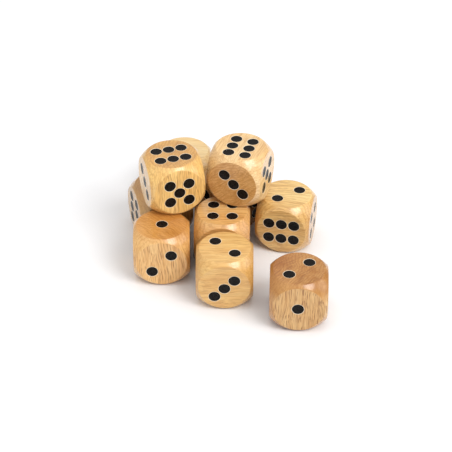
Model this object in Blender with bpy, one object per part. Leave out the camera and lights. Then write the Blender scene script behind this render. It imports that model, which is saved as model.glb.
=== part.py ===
"""Giant yard dice: a set of solid wooden playing dice, stacked in a loose heap.

Eight dice stand on the ground and two ride on top of them. Every die is turned
from one block: a cube whose edges and corners are rounded off by a ball, with a
shallow round recess for each pip. Lengths are in metres and +Z is up. The origin
is on the ground under the middle of the heap.
"""

import math

import bmesh
import bpy
from mathutils import Matrix, Vector

# One die
EDGE = 0.089
BALL_RADIUS = 0.0599
PIP_RADIUS = 0.0092
PIP_DEPTH = 0.0010

# Pip centres, measured from the middle of a face
CORNER_PIP = 0.0153
ROW_STEP = 0.0204
ROW_OFFSET = 0.0138

# How the dice are placed
STACK_GAP = 0.0003

# Outward direction of each numbered face on an upright die: opposite faces add up to seven
FACE_NORMAL = {
    1: Vector((0, 0, -1)),
    2: Vector((0, 1, 0)),
    3: Vector((-1, 0, 0)),
    4: Vector((1, 0, 0)),
    5: Vector((0, -1, 0)),
    6: Vector((0, 0, 1)),
}

# Name, middle in millimetres, level, turn in degrees, number on top, number in front, wood colour
DICE = (
    ("die_front_right", 114.5, -163.3, 0, -2.3, 2, 1, (0.66, 0.40, 0.17)),
    ("die_front_centre", 1.4, -110.1, 0, -0.8, 2, 3, (0.64, 0.37, 0.15)),
    ("die_front_left", -98.7, -49.8, 0, 1.1, 1, 2, (0.58, 0.31, 0.11)),
    ("die_back_right", 102.2, 34.5, 0, -12.8, 2, 6, (0.60, 0.33, 0.14)),
    ("die_back_centre", -2.6, -11.8, 0, -1.7, 4, 5, (0.62, 0.34, 0.12)),
    ("die_back_left", -105.5, 64.1, 0, 19.1, 4, 5, (0.63, 0.37, 0.16)),
    ("die_rear", -67.5, 164.9, 0, 0.0, 1, 2, (0.68, 0.44, 0.20)),
    ("die_rear_centre", 12.0, 95.0, 0, 45.0, 3, 6, (0.62, 0.36, 0.14)),
    ("die_top_left", -83.3, 16.5, 1, 16.9, 6, 5, (0.66, 0.41, 0.18)),
    ("die_top_right", 26.8, 37.9, 1, -18.7, 6, 3, (0.67, 0.44, 0.22)),
)

# How far a face's pips were drilled off centre, in millimetres along X, Y and Z of the upright die
PIP_SHIFT = {
    "die_front_right": {1: (0.9, 0.5, 0)},
    "die_front_centre": {2: (0.4, 0, 0.3), 3: (0, -2.3, 0)},
    "die_front_left": {1: (1.0, -0.3, 0)},
    "die_back_right": {2: (2.7, 0, 0.3), 4: (0, -1.0, 0.6)},
    "die_back_centre": {4: (0, 0, -0.8)},
    "die_top_left": {5: (1.0, 0, -1.8), 6: (-0.7, -0.9, 0)},
    "die_top_right": {3: (0, -2.6, 0), 6: (-1.4, -0.4, 0)},
}


def collection(name):
    """A new collection in the scene."""
    group = bpy.data.collections.new(name)
    bpy.context.scene.collection.children.link(group)
    return group


def pip_centres(name, number):
    """The pip centres of one face, on an upright die."""
    c = CORNER_PIP
    shift = Vector(PIP_SHIFT.get(name, {}).get(number, (0, 0, 0))) / 1000
    surface = FACE_NORMAL[number] * EDGE / 2 + shift
    offsets = {
        1: [(0, 0, 0)],
        2: [(-c, 0, c), (c, 0, -c)],
        3: [(0, -c, -c), (0, 0, 0), (0, c, c)],
        4: [(0, y, z) for y in (-c, c) for z in (-c, c)],
        5: [(x, 0, z) for x in (-c, c) for z in (-c, c)] + [(0, 0, 0)],
        6: [(x, y, 0) for x in (-ROW_STEP, 0, ROW_STEP) for y in (-ROW_OFFSET, ROW_OFFSET)],
    }
    return [surface + Vector(offset) for offset in offsets[number]]


def ball_object(group):
    """The ball that rounds off the corners of the block."""
    mesh = bpy.data.meshes.new("rounding_ball")
    bm = bmesh.new()
    bmesh.ops.create_icosphere(bm, subdivisions=3, radius=BALL_RADIUS)
    bm.to_mesh(mesh)
    bm.free()
    ball = bpy.data.objects.new("rounding_ball", mesh)
    group.objects.link(ball)
    return ball


def pip_cutters_object(group, name):
    """All twenty-one pip recesses of a die as short drums standing half out of the faces."""
    mesh = bpy.data.meshes.new(name + "_pips")
    bm = bmesh.new()
    for number, normal in FACE_NORMAL.items():
        turn = normal.to_track_quat("Z", "Y").to_matrix().to_4x4()
        for centre in pip_centres(name, number):
            bmesh.ops.create_cone(
                bm,
                cap_ends=True,
                segments=12,
                radius1=PIP_RADIUS,
                radius2=PIP_RADIUS,
                depth=2 * PIP_DEPTH,
                matrix=Matrix.Translation(centre) @ turn,
            )
    bm.to_mesh(mesh)
    bm.free()
    cutters = bpy.data.objects.new(name + "_pips", mesh)
    group.objects.link(cutters)
    return cutters


def boolean(target, operation, other):
    """Apply one exact Boolean to an object."""
    step = target.modifiers.new(operation.lower(), "BOOLEAN")
    step.operation = operation
    step.solver = "EXACT"
    step.object = other
    bpy.context.view_layer.update()
    evaluated = target.evaluated_get(bpy.context.evaluated_depsgraph_get())
    result = bpy.data.meshes.new_from_object(evaluated)
    target.modifiers.clear()
    target.data = result


def rounded_block(group):
    """A block rounded off by the ball, before its pips are cut."""
    mesh = bpy.data.meshes.new("block")
    bm = bmesh.new()
    bmesh.ops.create_cube(bm, size=EDGE)
    bm.to_mesh(mesh)
    bm.free()
    block = bpy.data.objects.new("block", mesh)
    group.objects.link(block)
    boolean(block, "INTERSECT", ball_object(group))
    return block


def orientation(turn, top, front):
    """Rotation that brings the given numbers to the top and the front, then turns the die."""
    up = FACE_NORMAL[top]
    back = -FACE_NORMAL[front]
    right = back.cross(up)
    roll = Matrix((right, back, up))
    return (Matrix.Rotation(math.radians(turn), 3, "Z") @ roll).to_4x4()


def wood(name, colour):
    """Lacquered hardwood."""
    material = bpy.data.materials.new(name)
    material.use_nodes = True
    shader = material.node_tree.nodes["Principled BSDF"]
    shader.inputs["Base Color"].default_value = (*colour, 1)
    shader.inputs["Roughness"].default_value = 0.35
    shader.inputs["Metallic"].default_value = 0.0
    material.diffuse_color = (*colour, 1)
    return material


def main():
    for old in list(bpy.data.objects):
        bpy.data.objects.remove(old, do_unlink=True)

    parts = collection("giant_yard_dice")
    cutters = collection("cutters")
    block = rounded_block(cutters)

    for name, x, y, level, turn, top, front, colour in DICE:
        die = bpy.data.objects.new(name, block.data.copy())
        parts.objects.link(die)
        boolean(die, "DIFFERENCE", pip_cutters_object(cutters, name))
        die.data.name = name
        die.data.materials.clear()
        die.data.materials.append(wood(name + "_wood", colour))
        die.data.shade_smooth()
        die.data.set_sharp_from_angle(angle=math.radians(25))
        height = EDGE / 2 + level * (EDGE + STACK_GAP)
        place = Matrix.Translation((x / 1000, y / 1000, height))
        die.matrix_world = place @ orientation(turn, top, front)

    for cutter in cutters.objects:
        cutter.hide_render = True
        cutter.display_type = "WIRE"


main()
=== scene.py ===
"""Giant yard dice: the looks of the heap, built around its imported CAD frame.

Each CAD die is replaced by a finely modelled block of lacquered wood with a dished
recess for each pip, and by the black paint that lies in those recesses. Lengths are
in metres and +Z is up.
"""

import math

import bmesh
import bpy
from mathutils import Matrix, Vector


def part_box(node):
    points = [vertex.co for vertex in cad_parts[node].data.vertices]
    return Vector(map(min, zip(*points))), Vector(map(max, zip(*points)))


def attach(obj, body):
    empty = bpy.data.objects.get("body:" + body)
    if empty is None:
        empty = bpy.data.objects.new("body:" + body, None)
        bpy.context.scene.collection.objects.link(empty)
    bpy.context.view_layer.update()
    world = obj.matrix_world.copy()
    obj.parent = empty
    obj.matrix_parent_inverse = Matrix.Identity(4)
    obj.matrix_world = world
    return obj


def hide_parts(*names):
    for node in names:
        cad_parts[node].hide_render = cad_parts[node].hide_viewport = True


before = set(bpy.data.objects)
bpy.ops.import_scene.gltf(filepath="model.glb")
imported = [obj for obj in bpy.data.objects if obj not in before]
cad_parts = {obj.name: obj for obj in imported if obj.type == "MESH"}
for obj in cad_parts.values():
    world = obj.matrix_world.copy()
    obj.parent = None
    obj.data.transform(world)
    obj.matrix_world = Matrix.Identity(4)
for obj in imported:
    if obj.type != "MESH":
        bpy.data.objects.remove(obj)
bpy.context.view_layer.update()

MM = 0.001

# One die, as in the CAD. The places of its pips are measured from the middle of a face
HALF = 44.5 * MM
BALL_RADIUS = 59.9 * MM
PIP_RADIUS = 9.2 * MM
PIP_DEPTH = 1.0 * MM
CORNER_PIP = 15.3 * MM
ROW_STEP = 20.4 * MM
ROW_OFFSET = 13.8 * MM

# Fineness of the visible meshes
ROUND_SEGMENTS = 96
PIP_SEGMENTS = 40
CORNER_RINGS = 6
RIM_SOFTNESS = 0.9 * MM
RIM_STEPS = 5
WELD_DISTANCE = 0.01 * MM

# The rings of a recess from the face inwards: share of the painted light halo round the pip,
# radius, height, and the outward and upward parts of the surface's normal
PIP_PROFILE = (
    (0, PIP_RADIUS + 0.8 * MM, 0, 0, 1),
    (1, PIP_RADIUS + 0.5 * MM, 0, 0, 1),
    (1, PIP_RADIUS + 0.1 * MM, -0.02 * MM, -0.4, 1),
    (1, PIP_RADIUS, -0.12 * MM, -1, 0.7),
    (0, PIP_RADIUS - 0.02 * MM, -0.4 * MM, -1, 0),
    (0, PIP_RADIUS - 0.05 * MM, -PIP_DEPTH, -1, 0.2),
)

# The drop of paint in a recess: its radius, the heights of its edge and of its underside, how
# hollow it dried, and the rings of its surface as shares of its radius
DROP_RADIUS = PIP_RADIUS - 0.07 * MM
DROP_EDGE = -0.10 * MM
DROP_BOTTOM = 0.05 * MM - PIP_DEPTH
DROP_HOLLOW = 0.55 * MM
DROP_RINGS = (0.12, 0.35, 0.6, 0.8, 0.93)

# Where the drop starts to round off, as a share of its radius, how far down that goes, and the
# angle from which an edge is left sharp
DROP_RIM = 0.985
DROP_ROUNDING = 0.08 * MM
DROP_SHARP_ANGLE = math.radians(50)

# Outward direction of each numbered face on an upright die: opposite faces add up to seven
FACE_NORMAL = {
    1: Vector((0, 0, -1)),
    2: Vector((0, 1, 0)),
    3: Vector((-1, 0, 0)),
    4: Vector((1, 0, 0)),
    5: Vector((0, -1, 0)),
    6: Vector((0, 0, 1)),
}

UP = Vector((0, 0, 1))
ACROSS = Vector((1, 0, 0))
DEEP = Vector((0, 1, 0))

# Turn in degrees, number on top, number in front, and the way the grain runs before the turn
POSE = {
    "front_right": (-2.3, 2, 1, UP),
    "front_centre": (-0.8, 2, 3, ACROSS),
    "front_left": (1.1, 1, 2, UP),
    "back_right": (-12.8, 2, 6, ACROSS),
    "back_centre": (-1.7, 4, 5, ACROSS),
    "back_left": (19.1, 4, 5, UP),
    "rear": (0.0, 1, 2, ACROSS),
    "rear_centre": (45.0, 3, 6, UP),
    "top_left": (16.9, 6, 5, UP),
    "top_right": (-18.7, 6, 3, DEEP),
}

# Where in the plank each die was cut (mm), long-grain and end-grain colours, how squarely the
# surface must face along the grain for the end-grain colour to start and to be full, and the
# strength of the growth rings and of the short dark flecks
TIMBER = {
    "front_right": ((0, 0, 0), (0.69, 0.45, 0.19), (0.37, 0.145, 0.018), (0.10, 0.55), 0.20, 1.0),
    "front_centre": ((210, 40, 90), (0.77, 0.50, 0.18), (0.52, 0.26, 0.07), (0.4, 0.9), 0.22, 0.4),
    "front_left": ((70, 330, 20), (0.84, 0.55, 0.23), (0.57, 0.26, 0.05), (0.50, 0.95), 0.30, 0.9),
    "back_right": ((400, 90, 10), (0.91, 0.71, 0.32), (0.52, 0.26, 0.07), (0.4, 0.9), 0.35, 0.5),
    "back_centre": ((30, 150, 260), (0.85, 0.56, 0.23), (0.52, 0.26, 0.07), (0.4, 0.9), 0.35, 0.5),
    "back_left": ((120, 60, 300), (0.64, 0.42, 0.18), (0.50, 0.28, 0.10), (0.3, 0.8), 0.30, 0.5),
    "rear": ((90, 500, 40), (0.83, 0.65, 0.34), (0.62, 0.40, 0.17), (0.4, 0.9), 0.20, 0.2),
    "rear_centre": ((160, 270, 60), (0.56, 0.34, 0.13), (0.40, 0.20, 0.06), (0.3, 0.8), 0.30, 0.4),
    "top_left": ((260, 220, 180), (0.87, 0.59, 0.21), (0.55, 0.30, 0.10), (0.60, 0.97), 0.30, 0.8),
    "top_right": ((330, 10, 120), (0.85, 0.62, 0.32), (0.51, 0.25, 0.065), (0.80, 0.94), 0.25, 0.3),
}

# The side of a die, before its turn, towards which it grows darker, and how much darker it is.
# On back_left and rear_centre this is painted shade on the sides that face into the gaps of the
# heap
DARK_SIDE_AND_GAP_SHADE = {
    "front_right": ((-1.0, 0.45, 0.0), 1.0),
    "front_left": ((0.8, 0.3, 0.5), 0.7),
    "back_right": ((0.0, -1.0, -0.1), 0.75),
    "back_centre": ((0.0, -1.0, 0.2), 0.5),
    "back_left": ((1.0, -0.3, 0.0), 1.0),
    "rear_centre": ((0.0, -1.0, 0.0), 1.0),
}

# How far a face's pips were drilled off centre, in millimetres along X, Y and Z of the upright die
PIP_SHIFT = {
    "front_right": {1: (0.9, 0.5, 0)},
    "front_centre": {2: (0.4, 0, 0.3), 3: (0, -2.3, 0)},
    "front_left": {1: (1.0, -0.3, 0)},
    "back_right": {2: (2.7, 0, 0.3), 4: (0, -1.0, 0.6)},
    "back_centre": {4: (0, 0, -0.8)},
    "top_left": {5: (1.0, 0, -1.8), 6: (-0.7, -0.9, 0)},
    "top_right": {3: (0, -2.6, 0), 6: (-1.4, -0.4, 0)},
}

# Turn about the grain from the sides of a die to the rays of its wood
RAY_TURN = math.radians(45)

# Cycles of each feature of the wood in a millimetre, twice across the grain and along it
WANDER_RATE = (0.03, 0.03, 0.012)
GROWTH_RATE = (0.05, 0.05, 0.008)
PATCH_RATE = (0.030, 0.030, 0.012)
STREAK_RATE = (0.13, 0.13, 0.012)
FIBRE_RATE = (0.45, 0.45, 0.016)
FLECK_RATE = (0.80, 0.80, 0.042)
RAY_RATE = (0.40, 0.035, 0.03)

# How far the whole figure wanders, where the pith lies from the cut and the width of a growth
# ring, in millimetres, and how many ring widths the rings wander
WANDER_REACH = (16, 16, 0)
PITH = (64, 38)
RING_WIDTH = 4.5
RING_WANDER = 3.0

# Noise at which patches, streaks and fibres start and are full, and their share of the colour
# at both
PATCH_SHARE = (0.35, 0.65, 0.0, 0.50)
STREAK_SHARE = (0.3, 0.7, 0.0, 0.55)
FIBRE_SHARE = (0.40, 0.70, 0.0, 0.45)

# Noise at which flecks and rays start and are full, and their greatest share of the colour
FLECK_REACH = (0.52, 0.66)
FLECK_SHARE = 0.75
RAY_REACH = (0.42, 0.70)
RAY_SHARE = 0.55

# Where in a growth ring its dark late wood starts and is full, and its share on the end grain
LATE_WOOD = (0.45, 1.0)
END_RING_SHARE = 0.5

# How much of the wood's own red, green and blue each feature keeps
PATCH_TINT = (0.92, 0.76, 0.58)
STREAK_TINT = (0.84, 0.68, 0.48)
RING_TINT = (0.80, 0.66, 0.50)
FIBRE_TINT = (0.85, 0.75, 0.65)
RAY_TINT = (0.62, 0.50, 0.38)
FLECK_TINT = (0.50, 0.38, 0.28)
# the darker side, painted shade on back_left and rear_centre
DARK_SIDE_TINT = (0.82, 0.68, 0.50)

# Where the darker side, painted shade on back_left and rear_centre, starts and is full, measured
# from the middle of a die, and its wavy edge
DARK_SIDE_REACH = (0.2 * HALF, 1.1 * HALF)
DARK_SIDE_WAVE = 0.5 * HALF

# Pale ring round each pip, a painted light halo at its lip, and its greatest share of the colour
PIP_HALO_COLOUR = (0.90, 0.80, 0.62)
PIP_HALO_SHARE = 0.75

# Darkest and lightest colour of the pips' paint and of the backdrop
BLACK_PAINT = ((0.004, 0.0035, 0.003), (0.010, 0.008, 0.007))
WHITE_PAPER = ((0.82, 0.82, 0.83), (0.84, 0.84, 0.85))


def pip_centres(name, number):
    """The pip centres of one face, on an upright die."""
    c = CORNER_PIP
    shift = Vector(PIP_SHIFT.get(name, {}).get(number, (0, 0, 0))) * MM
    surface = FACE_NORMAL[number] * HALF + shift
    offsets = {
        1: [(0, 0, 0)],
        2: [(-c, 0, c), (c, 0, -c)],
        3: [(0, -c, -c), (0, 0, 0), (0, c, c)],
        4: [(0, y, z) for y in (-c, c) for z in (-c, c)],
        5: [(x, 0, z) for x in (-c, c) for z in (-c, c)] + [(0, 0, 0)],
        6: [(x, y, 0) for x in (-ROW_STEP, 0, ROW_STEP) for y in (-ROW_OFFSET, ROW_OFFSET)],
    }
    return [surface + Vector(offset) for offset in offsets[number]]


def roll(top, front):
    """Rotation that brings the given numbers to the top and the front."""
    up = FACE_NORMAL[top]
    back = -FACE_NORMAL[front]
    right = back.cross(up)
    return Matrix((right, back, up))


def placed(name):
    """World matrix of a die: the middle of its CAD node, with its own turn and roll."""
    turn, top, front, _ = POSE[name]
    low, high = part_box("die_" + name)
    rotation = Matrix.Rotation(math.radians(turn), 3, "Z") @ roll(top, front)
    return Matrix.Translation((low + high) / 2) @ rotation.to_4x4()


# Meshes


def ring(bm, turn, centre, count, profile, layer=None):
    """A ring of vertices, whose profile gives the radius and height at each angle.

    Where a layer keeps the true normals, it also gives their outward and upward parts.
    """
    made = []
    for k in range(count):
        angle = 2 * math.pi * k / count
        outward = Vector((math.cos(angle), math.sin(angle), 0))
        radius, height, *normal = profile(angle)
        vertex = bm.verts.new(turn @ (centre + outward * radius + UP * height))
        if layer is not None:
            vertex[layer] = turn @ (outward * normal[0] + UP * normal[1]).normalized()
        made.append(vertex)
    return made


def bridge(bm, inner, outer):
    """Quads between two rings of the same count."""
    count = len(inner)
    for k in range(count):
        n = (k + 1) % count
        bm.faces.new((inner[k], outer[k], outer[n], inner[n]))


def edges_round(vertices):
    """The edges along a closed ring."""
    count = len(vertices)
    pairs = [(vertices[k], vertices[(k + 1) % count]) for k in range(count)]
    return [next(e for e in a.link_edges if e.other_vert(a) is b) for a, b in pairs]


def pip_recess(bm, layer, pip_halo, turn, centre):
    """One recess: lip carrying a painted light halo, short wall and floor. Returns the ring that
    lies in the face.
    """
    rings = []
    for share, *step in PIP_PROFILE:
        rings.append(ring(bm, turn, centre, PIP_SEGMENTS, lambda angle, step=step: step, layer))
        for vertex in rings[-1]:
            # painted light halo: each ring's share of the pale ring round the pip
            vertex[pip_halo] = share
    for inner, outer in zip(rings[1:], rings):
        bridge(bm, inner, outer)
    bm.faces.new(rings[-1])
    return rings[0]


def face_patch(bm, layer, pip_halo, name, number):
    """One face of the die: flat disc with its pips, softened rim, and its share of the ball."""
    normal = FACE_NORMAL[number]
    turn = normal.to_track_quat("Z", "Y").to_matrix()
    flat_radius = math.sqrt(BALL_RADIUS**2 - HALF**2)
    rim_angle = math.atan2(flat_radius, HALF)
    ball_start = rim_angle + RIM_SOFTNESS / BALL_RADIUS
    inner = (flat_radius - RIM_SOFTNESS, HALF)
    outer = (BALL_RADIUS * math.sin(ball_start), BALL_RADIUS * math.cos(ball_start))

    def rim(t):
        """A curve that leaves the flat face level and joins the ball along its surface."""
        a, b, c = (1 - t) ** 2, 2 * t * (1 - t), t * t
        radius = a * inner[0] + b * flat_radius + c * outer[0]
        height = a * inner[1] + b * HALF + c * outer[1]
        lean = t * ball_start
        return lambda angle: (radius, height, math.sin(lean), math.cos(lean))

    def ball(t):
        """Part of the way over the ball to where the neighbouring faces' patches begin."""

        def profile(angle):
            widest = max(abs(math.cos(angle)), abs(math.sin(angle)))
            lean = ball_start + t * (math.atan(1 / widest) - ball_start)
            radius, height = BALL_RADIUS * math.sin(lean), BALL_RADIUS * math.cos(lean)
            return radius, height, math.sin(lean), math.cos(lean)

        return profile

    profiles = [rim(k / RIM_STEPS) for k in range(RIM_STEPS + 1)]
    profiles += [ball(k / CORNER_RINGS) for k in range(1, CORNER_RINGS + 1)]
    zero = Vector((0, 0, 0))
    rings = [ring(bm, turn, zero, ROUND_SEGMENTS, p, layer) for p in profiles]
    for a, b in zip(rings, rings[1:]):
        bridge(bm, a, b)
    loops = [rings[0]]
    for place in pip_centres(name, number):
        loops.append(pip_recess(bm, layer, pip_halo, turn, turn.transposed() @ place))
    edges = [edge for loop in loops for edge in edges_round(loop)]
    bmesh.ops.triangle_fill(bm, use_beauty=True, edges=edges, normal=normal)


def block_mesh(name):
    """The wooden block of a die, upright, with true normals on its flats and round corners."""
    bm = bmesh.new()
    layer = bm.verts.layers.float_vector.new("true_normal")
    # share of the painted light halo round each pip
    pip_halo = bm.verts.layers.float.new("pip_halo")
    for number in FACE_NORMAL:
        face_patch(bm, layer, pip_halo, name, number)
    bmesh.ops.remove_doubles(bm, verts=bm.verts, dist=WELD_DISTANCE)
    bmesh.ops.recalc_face_normals(bm, faces=bm.faces)
    normals = [vertex[layer].copy() for vertex in bm.verts]
    bm.verts.layers.float_vector.remove(layer)
    mesh = bpy.data.meshes.new(name + "_block")
    bm.to_mesh(mesh)
    bm.free()
    mesh.shade_smooth()
    mesh.normals_split_custom_set_from_vertices(normals)
    return mesh


def paint_mesh(name):
    """The paint in all the recesses of an upright die: each a drop dried hollow in the middle."""
    steps = [(DROP_RADIUS * f, DROP_EDGE - DROP_HOLLOW * (1 - f * f)) for f in DROP_RINGS]
    steps += [(DROP_RADIUS * DROP_RIM, DROP_EDGE), (DROP_RADIUS, DROP_EDGE - DROP_ROUNDING)]
    steps += [(DROP_RADIUS, DROP_BOTTOM)]
    bm = bmesh.new()
    for number, normal in FACE_NORMAL.items():
        turn = normal.to_track_quat("Z", "Y").to_matrix()
        for place in pip_centres(name, number):
            centre = turn.transposed() @ place
            rings = []
            for step in steps:
                rings.append(ring(bm, turn, centre, PIP_SEGMENTS, lambda angle, step=step: step))
            for inner, outer in zip(rings, rings[1:]):
                bridge(bm, inner, outer)
            bm.faces.new(rings[0])
            bm.faces.new(rings[-1])
    bmesh.ops.recalc_face_normals(bm, faces=bm.faces)
    mesh = bpy.data.meshes.new(name + "_paint")
    bm.to_mesh(mesh)
    bm.free()
    mesh.shade_smooth()
    mesh.set_sharp_from_angle(angle=DROP_SHARP_ANGLE)
    return mesh


# Materials


class Shader:
    """Short ways to add and join the nodes of one material or world."""

    def __init__(self, owner):
        owner.use_nodes = True
        self.owner = owner
        self.tree = owner.node_tree

    def final(self, node_name, **inputs):
        """Inputs of the node that makes the surface or the background."""
        node = self.tree.nodes[node_name]
        for key, value in inputs.items():
            self.put(node.inputs[key.replace("_", " ")], value)

    def add(self, kind, settings=None, **inputs):
        """A node. Inputs are values or other nodes' sockets, named with _ for a space."""
        made = self.tree.nodes.new("ShaderNode" + kind)
        for key, value in (settings or {}).items():
            setattr(made, key, value)
        for key, value in inputs.items():
            self.put(made.inputs[key.replace("_", " ")], value)
        return made

    def put(self, socket, value):
        """A constant or a link into one input."""
        if isinstance(value, bpy.types.NodeSocket):
            self.tree.links.new(value, socket)
        else:
            socket.default_value = value

    def maths(self, operation, *values):
        """A sum on numbers."""
        made = self.tree.nodes.new("ShaderNodeMath")
        made.operation = operation
        for socket, value in zip(made.inputs, values):
            self.put(socket, value)
        return made.outputs[0]

    def vector(self, operation, *values):
        """A sum on vectors, whose result is a number for a length or a dot product."""
        made = self.tree.nodes.new("ShaderNodeVectorMath")
        made.operation = operation
        for socket, value in zip(made.inputs, values):
            self.put(socket, value)
        return made.outputs[1] if operation in ("LENGTH", "DOT_PRODUCT") else made.outputs[0]

    def noise(self, vector, scale, detail=2.0, roughness=0.5):
        """Cloudy noise from 0 to 1."""
        made = self.add("TexNoise", Vector=vector, Scale=scale, Detail=detail, Roughness=roughness)
        return made.outputs["Fac"]

    def stretch(self, value, low, high, to_low=0.0, to_high=1.0):
        """A smooth step from to_low to to_high as value goes from low to high."""
        made = self.tree.nodes.new("ShaderNodeMapRange")
        made.interpolation_type = "SMOOTHSTEP"
        for socket, setting in zip(made.inputs, (value, low, high, to_low, to_high)):
            self.put(socket, setting)
        return made.outputs[0]

    def blend(self, factor, first, second, mode="MIX"):
        """Two colours mixed, each a value or another node's socket."""
        made = self.tree.nodes.new("ShaderNodeMix")
        made.data_type = "RGBA"
        made.blend_type = mode
        self.put(made.inputs["Factor"], factor)
        for socket, value in ((made.inputs[6], first), (made.inputs[7], second)):
            self.put(socket, value if isinstance(value, bpy.types.NodeSocket) else (*value, 1))
        return made.outputs[2]


def tinted(colour, tint):
    """A colour with only a share of its red, green and blue."""
    return tuple(part * share for part, share in zip(colour, tint))


def wood(name):
    """Beech under clear lacquer, cut from its own stretch of plank, with the grain along one axis.

    The pattern is solid, so it runs through the block: long fibres and flecks on the four long
    faces, and growth rings with a darker, deeper colour where the grain ends.
    """
    _, top, front, grain = POSE[name]
    offset, long_colour, end_colour, end_reach, ring_strength, fleck_strength = TIMBER[name]
    to_upright = roll(top, front).transposed()
    local_grain = to_upright @ grain
    to_plank = Matrix.Rotation(RAY_TURN, 3, "Z") @ local_grain.rotation_difference(UP).to_matrix()

    s = Shader(bpy.data.materials.new(name + "_wood"))
    where = s.add("TexCoord")
    plank = s.add(
        "Mapping",
        Vector=where.outputs["Object"],
        Location=offset,
        Rotation=to_plank.to_euler(),
        Scale=(1 / MM, 1 / MM, 1 / MM),
    )
    spot = plank.outputs[0]

    # A slow wander of the whole figure
    slow = s.vector("MULTIPLY", spot, WANDER_RATE)
    wander = s.add("TexNoise", Vector=slow, Scale=1.0, Detail=1.0)
    shift = s.vector("SUBTRACT", wander.outputs["Color"], (0.5, 0.5, 0.5))
    figure = s.vector("ADD", spot, s.vector("MULTIPLY", shift, WANDER_REACH))

    def figured(rate, detail=2.0, roughness=0.5):
        """Noise that follows the figure."""
        return s.noise(s.vector("MULTIPLY", figure, rate), 1.0, detail, roughness)

    # Growth rings about a pith outside the block
    pith = (offset[0] + PITH[0], offset[1] + PITH[1], 0)
    from_pith = s.vector("MULTIPLY", s.vector("SUBTRACT", figure, pith), (1, 1, 0))
    ring_count = s.maths("DIVIDE", s.vector("LENGTH", from_pith), RING_WIDTH)
    ring_shift = s.maths("MULTIPLY", figured(GROWTH_RATE), RING_WANDER)
    rings = s.stretch(s.maths("FRACT", s.maths("ADD", ring_count, ring_shift)), *LATE_WOOD)

    # Large patches, broad streaks, long fibres, and the short dark flecks between them
    patches = figured(PATCH_RATE, 1.0)
    streaks = figured(STREAK_RATE)
    fibres = figured(FIBRE_RATE, 3.0, 0.65)
    flecks = figured(FLECK_RATE, 1.5)

    # How squarely the surface faces along the grain: flecks fade out there, and rays come in
    along = s.vector("DOT_PRODUCT", where.outputs["Normal"], tuple(local_grain))
    facing = s.maths("ABSOLUTE", along)
    fleck_fade = s.stretch(facing, 0.0, 0.5, 1.0, 0.0)
    fleck = s.maths("MULTIPLY", s.stretch(flecks, *FLECK_REACH), fleck_fade)
    ray = s.stretch(figured(RAY_RATE, 3.0, 0.6), *RAY_REACH)
    ray_share = s.maths("MULTIPLY", ray, s.stretch(facing, 0.5, 1.0, 0.0, RAY_SHARE))
    ring_reach = s.stretch(facing, 0.6, 1.0, ring_strength, END_RING_SHARE)

    base = s.blend(s.stretch(facing, *end_reach), long_colour, end_colour)
    base = s.blend(s.stretch(patches, *PATCH_SHARE), base, tinted(long_colour, PATCH_TINT))
    base = s.blend(s.stretch(streaks, *STREAK_SHARE), base, tinted(long_colour, STREAK_TINT))
    base = s.blend(s.maths("MULTIPLY", rings, ring_reach), base, tinted(end_colour, RING_TINT))
    base = s.blend(s.stretch(fibres, *FIBRE_SHARE), base, tinted(end_colour, FIBRE_TINT))
    base = s.blend(ray_share, base, tinted(end_colour, RAY_TINT))
    fleck_share = s.maths("MULTIPLY", fleck, FLECK_SHARE * fleck_strength)
    base = s.blend(fleck_share, base, tinted(end_colour, FLECK_TINT))

    # Darker towards one side: painted shade in the gaps on back_left and rear_centre
    if name in DARK_SIDE_AND_GAP_SHADE:
        side, darkness = DARK_SIDE_AND_GAP_SHADE[name]
        local_side = to_upright @ Vector(side).normalized()
        depth = s.vector("DOT_PRODUCT", where.outputs["Object"], tuple(local_side))
        wavy = s.maths("ADD", depth, s.maths("MULTIPLY", streaks, DARK_SIDE_WAVE))
        dark_side_share = s.stretch(wavy, *DARK_SIDE_REACH, 0.0, darkness)
        base = s.blend(dark_side_share, base, DARK_SIDE_TINT, "MULTIPLY")

    # Painted light halo: a pale ring at the lip of each pip
    pip_halo = s.add("Attribute", {"attribute_name": "pip_halo"}).outputs["Fac"]
    base = s.blend(s.maths("MULTIPLY", pip_halo, PIP_HALO_SHARE), base, PIP_HALO_COLOUR)

    # Flecks are a little sunk and rough, and fibres a little raised
    unevenness = s.maths("ADD", s.maths("MULTIPLY", fleck, 0.4), fibres)
    pores = s.maths("MULTIPLY", fleck, -0.6 * fleck_strength)
    height = s.maths("ADD", s.maths("MULTIPLY", fibres, 0.5), pores)
    relief = s.add("Bump", Strength=0.35, Distance=0.06 * MM, Height=height)
    s.final(
        "Principled BSDF",
        Base_Color=base,
        Roughness=s.stretch(unevenness, 0.3, 1.0, 0.42, 0.56),
        Specular_IOR_Level=0.25,
        Coat_Weight=1.0,
        Coat_Roughness=0.21,
        Coat_IOR=1.5,
        Normal=relief.outputs[0],
    )
    return s.owner


def paint():
    """Black gloss paint, a little uneven where it dried over the wood."""
    s = Shader(bpy.data.materials.new("pip_paint"))
    where = s.add("TexCoord").outputs["Object"]
    cloud = s.noise(where, 260.0, 3.0)
    ripple = s.noise(where, 620.0, 2.0)
    relief = s.add("Bump", Strength=0.25, Distance=0.08 * MM, Height=ripple)
    s.final(
        "Principled BSDF",
        Base_Color=s.blend(cloud, *BLACK_PAINT),
        Roughness=s.stretch(cloud, 0.3, 0.7, 0.22, 0.34),
        Specular_IOR_Level=0.12,
        Normal=relief.outputs[0],
    )
    return s.owner


def backdrop():
    """Matt white paper."""
    s = Shader(bpy.data.materials.new("backdrop_paper"))
    tone = s.noise(s.add("TexCoord").outputs["Object"], 3.0)
    s.final(
        "Principled BSDF",
        Base_Color=s.blend(tone, *WHITE_PAPER),
        Roughness=0.9,
        Specular_IOR_Level=0.1,
    )
    return s.owner


# The dice


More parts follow.
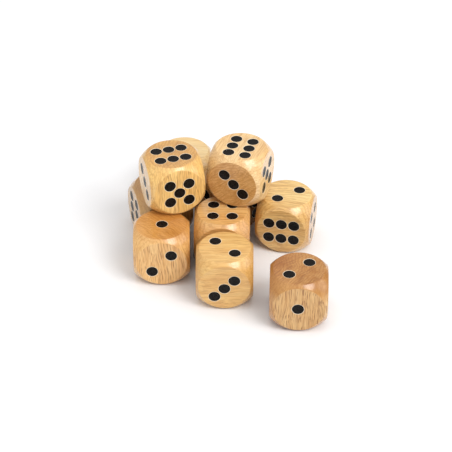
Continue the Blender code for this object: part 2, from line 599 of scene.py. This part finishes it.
def add_dice():
    """A wooden block and its pip paint for every CAD die, riding on that die's body."""
    black = paint()
    for name in POSE:
        block = block_mesh(name)
        block.materials.append(wood(name))
        drops = paint_mesh(name)
        drops.materials.append(black)
        wooden = bpy.data.objects.new(name + "_block", block)
        painted = bpy.data.objects.new(name + "_paint", drops)
        for piece in (wooden, painted):
            bpy.context.scene.collection.objects.link(piece)
            piece.matrix_world = placed(name)
            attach(piece, name)
        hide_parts("die_" + name)


# The studio

# Where the camera looks, how far off and how high it stands, and how much it takes in
LOOK_AT = Vector((3.3, 6.6, 44.5)) * MM
CAMERA_DISTANCE = 2.392
CAMERA_ELEVATION = math.radians(36.06)
FIELD_OF_VIEW = math.radians(17.47)

# Brightness of the white tent level with the ground, and what its top, front and left add
TENT_SIDES = 0.44
TENT_TOP = 1.00
TENT_FRONT = 0.10
TENT_LEFT = 0.16

# Direction from the heap, distance and side in metres, and power of each softbox
SOFTBOXES = {
    "key_softbox": ((0.47, -0.50, 0.74), 6.4, 3.0, 225),
    "side_softbox": ((0.90, -0.10, 0.32), 5.2, 2.6, 40),
}

# Half the width of the paper, and how far it lies below the dice so as not to cut their faces
TABLE_TOP_REACH = 6
TABLE_TOP_GAP = 0.05 * MM


def add_camera():
    """A long lens looking down on the front of the heap."""
    data = bpy.data.cameras.new("camera")
    data.lens_unit = "FOV"
    data.angle = FIELD_OF_VIEW
    camera = bpy.data.objects.new("camera", data)
    back = Vector((0, -math.cos(CAMERA_ELEVATION), math.sin(CAMERA_ELEVATION)))
    camera.location = LOOK_AT + back * CAMERA_DISTANCE
    camera.rotation_euler = (-back).to_track_quat("-Z", "Y").to_euler()
    bpy.context.scene.collection.objects.link(camera)
    bpy.context.scene.camera = camera


def add_softbox(name, direction, distance, size, power):
    """A square area light that faces the heap."""
    data = bpy.data.lights.new(name, "AREA")
    data.shape = "SQUARE"
    data.size = size
    data.energy = power
    light = bpy.data.objects.new(name, data)
    light.location = LOOK_AT + Vector(direction).normalized() * distance
    light.rotation_euler = (-Vector(direction)).to_track_quat("-Z", "Y").to_euler()
    bpy.context.scene.collection.objects.link(light)


def add_table_top():
    """White paper under the heap, as part of the studio and not of the dice."""
    bm = bmesh.new()
    bmesh.ops.create_grid(bm, x_segments=8, y_segments=8, size=TABLE_TOP_REACH)
    mesh = bpy.data.meshes.new("table_top")
    bm.to_mesh(mesh)
    bm.free()
    mesh.materials.append(backdrop())
    table_top = bpy.data.objects.new("table_top", mesh)
    table_top.location.z = -TABLE_TOP_GAP
    bpy.context.scene.collection.objects.link(table_top)


def add_tent():
    """A white tent all round that grows brighter towards its top, front and left."""
    world = bpy.data.worlds.new("white_tent")
    s = Shader(world)
    direction = s.add("TexCoord").outputs["Generated"]
    height = s.add("SeparateXYZ", Vector=direction).outputs["Z"]
    overhead = s.maths("MULTIPLY", s.maths("MULTIPLY", height, height), TENT_TOP)
    sideways = s.vector("DOT_PRODUCT", direction, (-TENT_LEFT, -TENT_FRONT, 0))
    strength = s.maths("ADD", s.maths("ADD", overhead, sideways), TENT_SIDES)
    s.final("Background", Color=(1, 1, 1, 1), Strength=strength)
    bpy.context.scene.world = world


add_dice()
add_table_top()
add_tent()
for softbox, setting in SOFTBOXES.items():
    add_softbox(softbox, *setting)
add_camera()
bpy.context.scene.view_settings.view_transform = "Standard"
